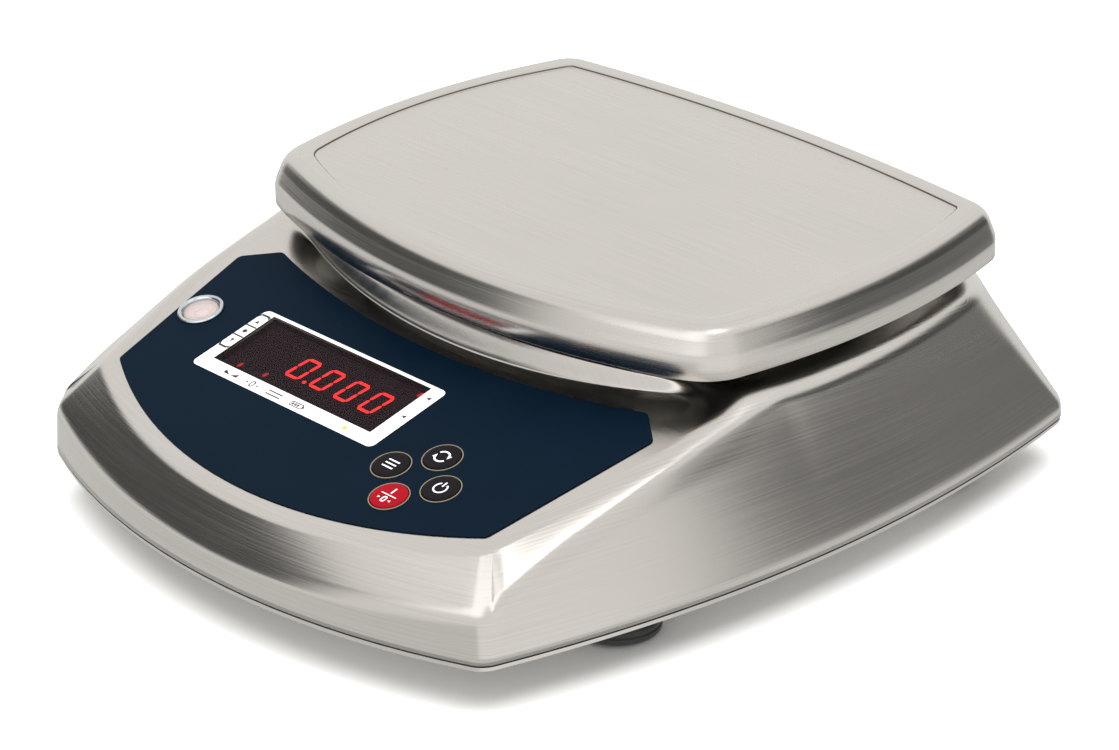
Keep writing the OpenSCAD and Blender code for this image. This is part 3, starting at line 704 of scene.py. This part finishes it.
def arc_stroke(cx, cy, r, a0, a1, width, n=16):
    """A curved stroke as a loop."""
    a = np.radians(np.linspace(a0, a1, n))
    out = np.stack([cx + (r + width / 2) * np.cos(a), cy + (r + width / 2) * np.sin(a)], 1)
    back = np.stack([cx + (r - width / 2) * np.cos(a[::-1]), cy + (r - width / 2) * np.sin(a[::-1])], 1)
    return np.concatenate([out, back])


def window_frame_print():
    """White frame round the display window."""
    outer = box_loop(*FRAME_OUT, 2.4, 6)
    inner = box_loop(WINDOW[0] - 0.1, WINDOW[1] + 0.1, WINDOW[2] - 0.1, WINDOW[3] + 0.1, 0.3, 6)
    flat_print("window_frame_print", [(outer, inner)], WHITE_PRINT)


# ---- Turned parts ----
def lathe(name, profile, centre, body, material, place=None, n=64, closed=False):
    """Turns a profile of (radius, height) points about an upright axis at centre. closed joins its ends."""
    rings = []
    for r, z in profile:
        ring = circle(centre[0], centre[1], max(r, 0.0), n)
        rings.append(np.column_stack([ring, np.full(n, z)]))
    verts, faces = strip(rings, (False, False))
    if closed:
        top = (len(profile) - 1) * n
        for i in range(n):
            j = (i + 1) % n
            faces.append((top + i, top + j, j, i))
    if place is not None:
        verts = place(verts)
    obj = piece(name, verts, faces, body, material)
    weld(obj, 0.004)
    return obj


def bent(points, soft, steps=4):
    """A profile with each inner corner rounded by the given length."""
    out = [np.array(points[0], float)]
    for i in range(1, len(points) - 1):
        p, q, r = (np.array(v, float) for v in points[i - 1:i + 2])
        a, b = p - q, r - q
        la, lb = np.linalg.norm(a), np.linalg.norm(b)
        cut = min(soft, la * 0.45, lb * 0.45)
        out += rounded(q + a / la * cut, q, q + b / lb * cut, steps)
    out.append(np.array(points[-1], float))
    return out


KEY_NAMES = ("key_zero", "key_function", "key_mode", "key_off")
KEY_TOP = OVERLAY_T + 0.8
KEY_FLANGE = 1.2
KEY_STEM_R = 2.0


def triangle(size):
    return np.array([[-size, -size * 0.9], [size, 0], [-size, size * 0.9]])


def icon_function():
    """Three bars."""
    return [bar(-2.6, y, 2.6, y, 0.62) for y in (-1.8, 0.0, 1.8)]


def icon_mode():
    """Two curved arrows that make a ring."""
    shapes = []
    for turn, side in ((0, 1), (180, -1)):
        shapes.append(moved(arc_stroke(0, 0, 2.7, 25, 150, 0.72), 0, 0, turn))
        shapes.append(moved(triangle(0.95), 2.55 * side, 0.6 * side, -90 * side))
    return shapes


def icon_off():
    """An open ring with a bar in its gap."""
    return [arc_stroke(0, -0.1, 2.5, 122, 418, 0.62, 28), bar(0, 0.7, 0, 3.2, 0.62)]


def digit_loop(w, h, stroke):
    """Outer and inner edge of an upright round-cornered zero."""
    n = 24
    a = np.arange(n) * 2 * math.pi / n
    grow = np.sign(np.cos(a)) * np.abs(np.cos(a)) ** 0.7, np.sign(np.sin(a)) * np.abs(np.sin(a)) ** 0.7
    return tuple(np.stack([grow[0] * (w / 2 - e), grow[1] * (h / 2 - e)], 1) for e in (0, stroke))


def icon_zero():
    """A bar, a line and a zero between two arrow heads."""
    outer, inner = digit_loop(2.0, 3.0, 0.5)
    low = -2.4
    return [bar(0, 1.0, 0, 3.9, 0.6), bar(-3.6, 0.0, 3.6, 0.0, 0.38), (outer + [0, low], inner + [0, low]),
            moved(triangle(0.55), -2.5, low), moved(triangle(0.55), 2.5, low, 180)]


ICONS = (icon_zero, icon_function, icon_mode, icon_off)


def make_keys():
    """Dished key caps on their stems, with a symbol on each."""
    for i, name in enumerate(KEY_NAMES):
        x, y = key_place(i)
        look = LOOKS["key_red" if i == 0 else "key_black"]
        under = -SHEET - 0.3
        wide, foot = KEY_R + KEY_FLANGE, under - KEY_FLANGE
        cap_side = [(0, KEY_TOP - 0.06), (KEY_R * 0.7, KEY_TOP - 0.02), (KEY_R, KEY_TOP - 0.1), (KEY_R, under)]
        below = [(wide, under), (wide, foot), (KEY_STEM_R, foot), (KEY_STEM_R, under - 1.9), (0, under - 1.9)]
        profile = bent(cap_side + below, 0.28, 3)
        cap = lathe(name + "_cap", profile, (x, y), name, look, on_panel)
        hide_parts(name)
        shapes = []
        for shape in ICONS[i]():
            if isinstance(shape, tuple):
                shapes.append(tuple(loop + [x, y] for loop in shape))
            else:
                shapes.append(shape + [x, y])
        flat_print(name + "_icon", shapes, WHITE_PRINT, KEY_TOP - 0.04, name)


def make_bezels():
    """A thin raised ring round each key."""
    ring = [(KEY_R + 0.3, OVERLAY_T - 0.01), (KEY_R + 0.3, OVERLAY_T + 0.42), (KEY_R + 0.7, OVERLAY_T + 0.42),
            (KEY_R + 0.7, OVERLAY_T - 0.01)]
    for i in range(4):
        profile = bent(ring, 0.12, 3)
        lathe(f"key_ring_{i + 1}", profile, key_place(i), "root", LOOKS["bezel_grey"], on_panel,
                           closed=True)
    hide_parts("key_bezels")


def make_level():
    """Bubble level: bright ring, dark inner ring, clear dome over the fluid, and its bubble."""
    z = OVERLAY_T
    crown = [(8.75, z - 0.05), (8.85, z + 0.5), (8.3, z + 1.0), (7.5, z + 0.9), (6.9, z + 0.2)]
    ring = bent(crown + [(6.8, z - 5.0), (7.7, z - 6.0), (7.75, z - 0.2)], 0.3, 3)
    cup = lathe("level_ring", ring, LEVEL, "root", LOOKS["level_ring"], on_panel, 72, True)
    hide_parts("level_cup")
    dome = [(0, z + 0.95), (3.0, z + 0.82), (5.2, z + 0.55), (6.5, z + 0.1)]
    dome += [(6.7, z - 0.6), (6.7, z - 1.2), (0, z - 1.2)]
    lens = lathe("level_dome", dome, LEVEL, "root", LOOKS["level_glass"], on_panel, 72)
    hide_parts("level_lens")
    fluid = [(0, z - 1.6), (6.4, z - 1.6), (6.7, z - 1.9), (6.7, z - 6.2), (0, z - 6.2)]
    lathe("level_fluid", fluid, LEVEL, "root", LEVEL_FLUID, on_panel)
    mark = bent([(2.7, z - 1.45), (3.0, z - 1.45), (3.0, z - 1.55), (2.7, z - 1.55)], 0.02, 1)
    lathe("level_mark", mark, LEVEL, "root", DARK_PRINT, on_panel, closed=True)
    bubble = [(0, z - 1.25), (1.1, z - 1.3), (1.9, z - 1.45), (2.2, z - 1.6), (1.6, z - 1.8), (0, z - 1.9)]
    spot = (LEVEL[0] + 0.5, LEVEL[1] + 0.6)
    lathe("level_bubble", bubble, spot, "root", LOOKS["level_glass"], on_panel, 32)


FOOT_X, FOOT_FRONT_Y, FOOT_REAR_Y = 102, -60, 103.5
FEET = {
    "front_left": (-FOOT_X, FOOT_FRONT_Y),
    "front_right": (FOOT_X, FOOT_FRONT_Y),
    "rear_left": (-FOOT_X, FOOT_REAR_Y),
    "rear_right": (FOOT_X, FOOT_REAR_Y),
}
FOOT_R, FOOT_H = 16.0, 8.0


def make_feet():
    """Rubber pads with a rounded edge, a groove and a recess for the stud's steel foot."""
    for name, at in FEET.items():
        low = [(0, 1.9), (0, 0.0), (13.6, 0.0), (FOOT_R, 1.2), (FOOT_R, 3.4), (FOOT_R - 0.5, 3.8)]
        high = [(FOOT_R, 4.2), (FOOT_R, 6.4), (FOOT_R - 2.5, FOOT_H), (6.1, FOOT_H), (6.1, 1.95), (0, 1.95)]
        profile = bent(low + high, 0.9, 4)
        pad = lathe("pad_" + name, profile, at, "foot_pad_" + name, LOOKS["foot_rubber"], n=72)
        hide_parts("foot_pad_" + name)


# ---- Display ----
DIGIT_Z = -2.2
DIGIT_XS = (-32.5, -19.5, -6.5, 6.4)
DIGIT_Y = 33.2
DIGIT_W, DIGIT_H = 7.6, 12.1
SLANT = math.tan(math.radians(7))
BAR_W = 1.25
SEEN_SHIFT = (-1.9, 1.1)
LAMPS = ((-55.3, 22.5), (-42.3, 23.3), (16.7, 45.2))


def segment(p, q, width):
    """A lit bar with pointed ends."""
    p, q = np.array(p, float), np.array(q, float)
    d = (q - p) / np.linalg.norm(q - p)
    n = np.array([-d[1], d[0]]) * width / 2
    step = d * width / 2
    return np.array([p, p + step - n, q - step - n, q, q - step + n, p + step + n])


def slanted(loop, x, y):
    return np.stack([x + loop[:, 0] + loop[:, 1] * SLANT, y + loop[:, 1]], 1)


def zero_segments():
    """The six lit bars of a zero."""
    w, h, g = DIGIT_W / 2 - BAR_W / 2, DIGIT_H / 2 - BAR_W / 2, 0.12
    return [segment((-w + g, h), (w - g, h), BAR_W), segment((-w + g, -h), (w - g, -h), BAR_W),
            segment((-w, g), (-w, h - g), BAR_W), segment((-w, -h + g), (-w, -g), BAR_W),
            segment((w, g), (w, h - g), BAR_W), segment((w, -h + g), (w, -g), BAR_W)]


def make_digits():
    """Four lit zeros with a decimal point, and three small lamps."""
    sx, sy = SEEN_SHIFT
    shapes = []
    for x in DIGIT_XS:
        shapes += [slanted(s, x + sx, DIGIT_Y + sy) for s in zero_segments()]
    shapes.append(circle(DIGIT_XS[0] + sx + 6.4, DIGIT_Y + sy - DIGIT_H / 2 + 0.7, 0.8, 20))
    lit = flat_print("lit_digits", shapes, LOOKS["led_red"], DIGIT_Z - 0.05)
    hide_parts("digit_segments")
    lamps = [slanted(segment((0, -1.5), (0, 1.5), 1.5), x + sx, y + sy) for x, y in LAMPS]
    lamp = flat_print("lit_marks", lamps, LED_DIM, DIGIT_Z - 0.05)


# ---- Marks printed round the window ----
STRIP_Y = 15.8
TAB_X = -68.8
SIDE_X = 22.4


def make_marks():
    """Plain symbols on the white frame, in place of its lettering."""
    dark = [moved(np.array([[-2.3, -1.1], [2.1, -1.1], [-2.3, 1.6]]), -54.2, STRIP_Y, 0, 0.72),
            moved(np.array([[2.3, -1.1], [-2.1, -1.1], [2.3, 1.6]]), -50.6, STRIP_Y, 0, 0.72)]
    outer, inner = digit_loop(2.1, 3.3, 0.5)
    dark += [(outer + [-40.7, STRIP_Y], inner + [-40.7, STRIP_Y]), moved(triangle(0.6), -43.2, STRIP_Y),
             moved(triangle(0.6), -38.2, STRIP_Y, 180)]
    dark += [bar(-32.4, STRIP_Y + d, -25.0, STRIP_Y + d, 0.55) for d in (-0.9, 0.9)]
    case = box_loop(-19.6, -13.4, STRIP_Y - 1.3, STRIP_Y + 1.3, 0.5, 3)
    hollow = box_loop(-19.2, -13.8, STRIP_Y - 0.9, STRIP_Y + 0.9, 0.3, 3)
    dark += [(case, hollow), box_loop(-13.4, -12.7, STRIP_Y - 0.5, STRIP_Y + 0.5)]
    dark += [box_loop(-18.8 + 1.3 * i, -17.9 + 1.3 * i, STRIP_Y - 0.6, STRIP_Y + 0.6) for i in range(3)]
    for y in (39.95, 33.4):
        dark.append(bar(-71.4, y, -66.2, y, 0.75))
    for y, s in ((46.6, 1), (26.7, -1)):
        near = [[-71.4, y - 1.1 * s], [-70.6, y + 0.2 * s], [-67.4, y + 0.2 * s], [-66.2, y - 0.9 * s]]
        far = [[-66.2, y + 0.5 * s], [-67.2, y + 1.2 * s], [-70.9, y + 1.2 * s], [-71.4, y + 0.4 * s]]
        dark.append(np.array(near + far))
    dark += [moved(triangle(1.0), TAB_X, 43.2, 90), circle(TAB_X, 36.7, 1.0, 20)]
    dark += [moved(triangle(1.0), TAB_X, 30.2, -90)]
    dark += [moved(triangle(1.0), SIDE_X, 44.0, 180), moved(triangle(1.0), SIDE_X, 31.9, 180)]
    flat_print("frame_marks", dark, DARK_PRINT, OVERLAY_T + PRINT_T)
    bolt = np.array([[0.5, 2.2], [-1.5, -0.3], [-0.2, -0.3], [-0.7, -2.2], [1.4, 0.5], [0.1, 0.5]])
    flat_print("charge_mark", [moved(bolt, 9.0, STRIP_Y)], AMBER_PRINT, OVERLAY_T + PRINT_T)


# ---- Stage ----
CAMERA_AZ, CAMERA_EL, CAMERA_ROLL = 46.26, 25.51, -0.42
CAMERA_DISTANCE = 1437.1
CAMERA_TARGET = (16.36, -4.3, 48.35)
FOCAL_PX, FRAME_W, SENSOR = 3970.46, 1119, 36.0


def direction(azimuth, elevation):
    """Unit vector from the object towards azimuth (0 is the front, 90 the right) and elevation."""
    a, e = math.radians(azimuth), math.radians(elevation)
    return Vector((math.sin(a) * math.cos(e), -math.cos(a) * math.cos(e), math.sin(e)))


def make_camera():
    back = direction(CAMERA_AZ, CAMERA_EL)
    a, roll = math.radians(CAMERA_AZ), math.radians(CAMERA_ROLL)
    right = Vector((math.cos(a), math.sin(a), 0))
    up = back.cross(right)
    r = right * math.cos(roll) + up * math.sin(roll)
    u = up * math.cos(roll) - right * math.sin(roll)
    place = (Vector(CAMERA_TARGET) + back * CAMERA_DISTANCE) * MM
    data = bpy.data.cameras.new("camera")
    data.sensor_width = SENSOR
    data.lens = FOCAL_PX / FRAME_W * SENSOR
    data.clip_start, data.clip_end = 0.05, 50
    cam = bpy.data.objects.new("camera", data)
    cam.matrix_world = Matrix((
        (r.x, u.x, back.x, place.x), (r.y, u.y, back.y, place.y), (r.z, u.z, back.z, place.z), (0, 0, 0, 1)))
    bpy.context.scene.collection.objects.link(cam)
    bpy.context.scene.camera = cam


def area_light(name, towards, distance, size, power, colour=(1, 1, 1), glossy=True, target=(0, 0, 50)):
    data = bpy.data.lights.new(name, "AREA")
    data.shape = "RECTANGLE"
    data.size, data.size_y = size
    data.energy = power
    data.color = colour
    light = bpy.data.objects.new(name, data)
    light.location = Vector(target) * MM + towards * distance
    light.rotation_mode = "QUATERNION"
    light.rotation_quaternion = towards.to_track_quat("Z", "Y")
    light.visible_camera = False
    light.visible_glossy = glossy
    bpy.context.scene.collection.objects.link(light)
    return light


# Cards round the object, as their reflections see them: azimuth, elevation, half width, half height,
# side softness and top softness in degrees, then brightness
CARDS = [
    (75, -18, 40, 24, 12, 10, 1.00),
    (18, 46, 30, 24, 9, 9, 1.60),
    (88, 68, 30, 10, 12, 6, 2.40),
    (-58, 12, 33, 17, 9, 8, 0.085),
    (148, -9, 30, 10, 8, 5, 0.22),
    (146, 14, 32, 14, 7, 7, 0.08),
]
SKY_HIGH, SKY_LOW = 0.95, 0.74


class Sky:
    """World nodes: the brightness of the studio by direction."""

    def __init__(self):
        self.world = bpy.data.worlds.new("studio")
        self.world.use_nodes = True
        self.tree = self.world.node_tree
        self.tree.nodes.clear()
        self.place = self.tree.nodes.new("ShaderNodeTexCoord").outputs["Generated"]

    def math(self, operation, a, b=None):
        n = self.tree.nodes.new("ShaderNodeMath")
        n.operation = operation
        for socket, v in zip(n.inputs, (a, b)):
            if v is None:
                continue
            if isinstance(v, (int, float)):
                socket.default_value = v
            else:
                self.tree.links.new(v, socket)
        return n.outputs[0]

    def falling(self, value, full, none):
        """1 up to full, 0 from none on."""
        n = self.tree.nodes.new("ShaderNodeMapRange")
        n.interpolation_type = "SMOOTHSTEP"
        for socket, v in zip(("From Min", "From Max", "To Min", "To Max"), (full, none, 1, 0)):
            n.inputs[socket].default_value = v
        self.tree.links.new(value, n.inputs["Value"])
        return n.outputs["Result"]

    def card(self, base, az, el, half_w, half_h, soft_w, soft_h, level):
        turn = self.tree.nodes.new("ShaderNodeVectorRotate")
        turn.rotation_type = "Z_AXIS"
        turn.inputs["Angle"].default_value = -math.radians(az - 90)
        self.tree.links.new(self.place, turn.inputs["Vector"])
        parts = self.tree.nodes.new("ShaderNodeSeparateXYZ")
        self.tree.links.new(turn.outputs[0], parts.inputs[0])
        x, y, z = parts.outputs
        side = self.math("ABSOLUTE", self.math("ARCTAN2", y, x))
        up = self.math("ABSOLUTE", self.math("SUBTRACT", self.math("ARCSINE", z), math.radians(el)))
        w = self.falling(side, math.radians(half_w - soft_w / 2), math.radians(half_w + soft_w / 2))
        h = self.falling(up, math.radians(half_h - soft_h / 2), math.radians(half_h + soft_h / 2))
        share = self.math("MULTIPLY", w, h)
        change = self.math("MULTIPLY", share, self.math("SUBTRACT", level, base))
        return self.math("ADD", base, change)

    def finish(self, value):
        tint = self.tree.nodes.new("ShaderNodeCombineColor")
        for socket, share in zip(tint.inputs, (1.0, 0.99, 0.965)):
            self.tree.links.new(self.math("MULTIPLY", value, share), socket)
        studio = self.tree.nodes.new("ShaderNodeBackground")
        self.tree.links.new(tint.outputs[0], studio.inputs["Color"])
        plain = self.tree.nodes.new("ShaderNodeBackground")
        plain.inputs["Color"].default_value = (0.93, 0.93, 0.93, 1)
        both = self.tree.nodes.new("ShaderNodeMixShader")
        path = self.tree.nodes.new("ShaderNodeLightPath")
        self.tree.links.new(path.outputs["Is Camera Ray"], both.inputs[0])
        self.tree.links.new(studio.outputs[0], both.inputs[1])
        self.tree.links.new(plain.outputs[0], both.inputs[2])
        out = self.tree.nodes.new("ShaderNodeOutputWorld")
        self.tree.links.new(both.outputs[0], out.inputs["Surface"])
        bpy.context.scene.world = self.world


def make_world():
    """Grey studio with bright and dark cards, which only reflections and light see."""
    sky = Sky()
    parts = sky.tree.nodes.new("ShaderNodeSeparateXYZ")
    sky.tree.links.new(sky.place, parts.inputs[0])
    low = sky.falling(parts.outputs[2], -0.35, -0.05)
    value = sky.math("SUBTRACT", SKY_HIGH, sky.math("MULTIPLY", low, SKY_HIGH - SKY_LOW))
    for card in CARDS:
        value = sky.card(value, *card)
    sky.finish(value)


def make_floor():
    """Plain pale floor, which reflections don't show."""
    size = 4000
    mesh = bpy.data.meshes.new("floor")
    corners = ((-size, -size), (size, -size), (size, size), (-size, size))
    mesh.from_pydata([(x * MM, y * MM, -0.0002) for x, y in corners], [], [(0, 1, 2, 3)])
    floor = bpy.data.objects.new("floor", mesh)
    s = Shader("floor paper", (0.93, 0.93, 0.93), 0.0, 0.9)
    mesh.materials.append(s.material)
    bpy.context.scene.collection.objects.link(floor)
    floor.visible_glossy = False


def make_stage():
    make_camera()
    make_world()
    make_floor()
    area_light("overhead", direction(0, 89), 1.6, (2.4, 2.4), 46, glossy=False)
    view = bpy.context.scene.view_settings
    view.view_transform = "Standard"
    view.look = "None"


dress_cad_nodes()
make_cover()
make_platter()
window_frame_print()
make_marks()
make_keys()
make_bezels()
make_level()
make_feet()
make_digits()
make_stage()
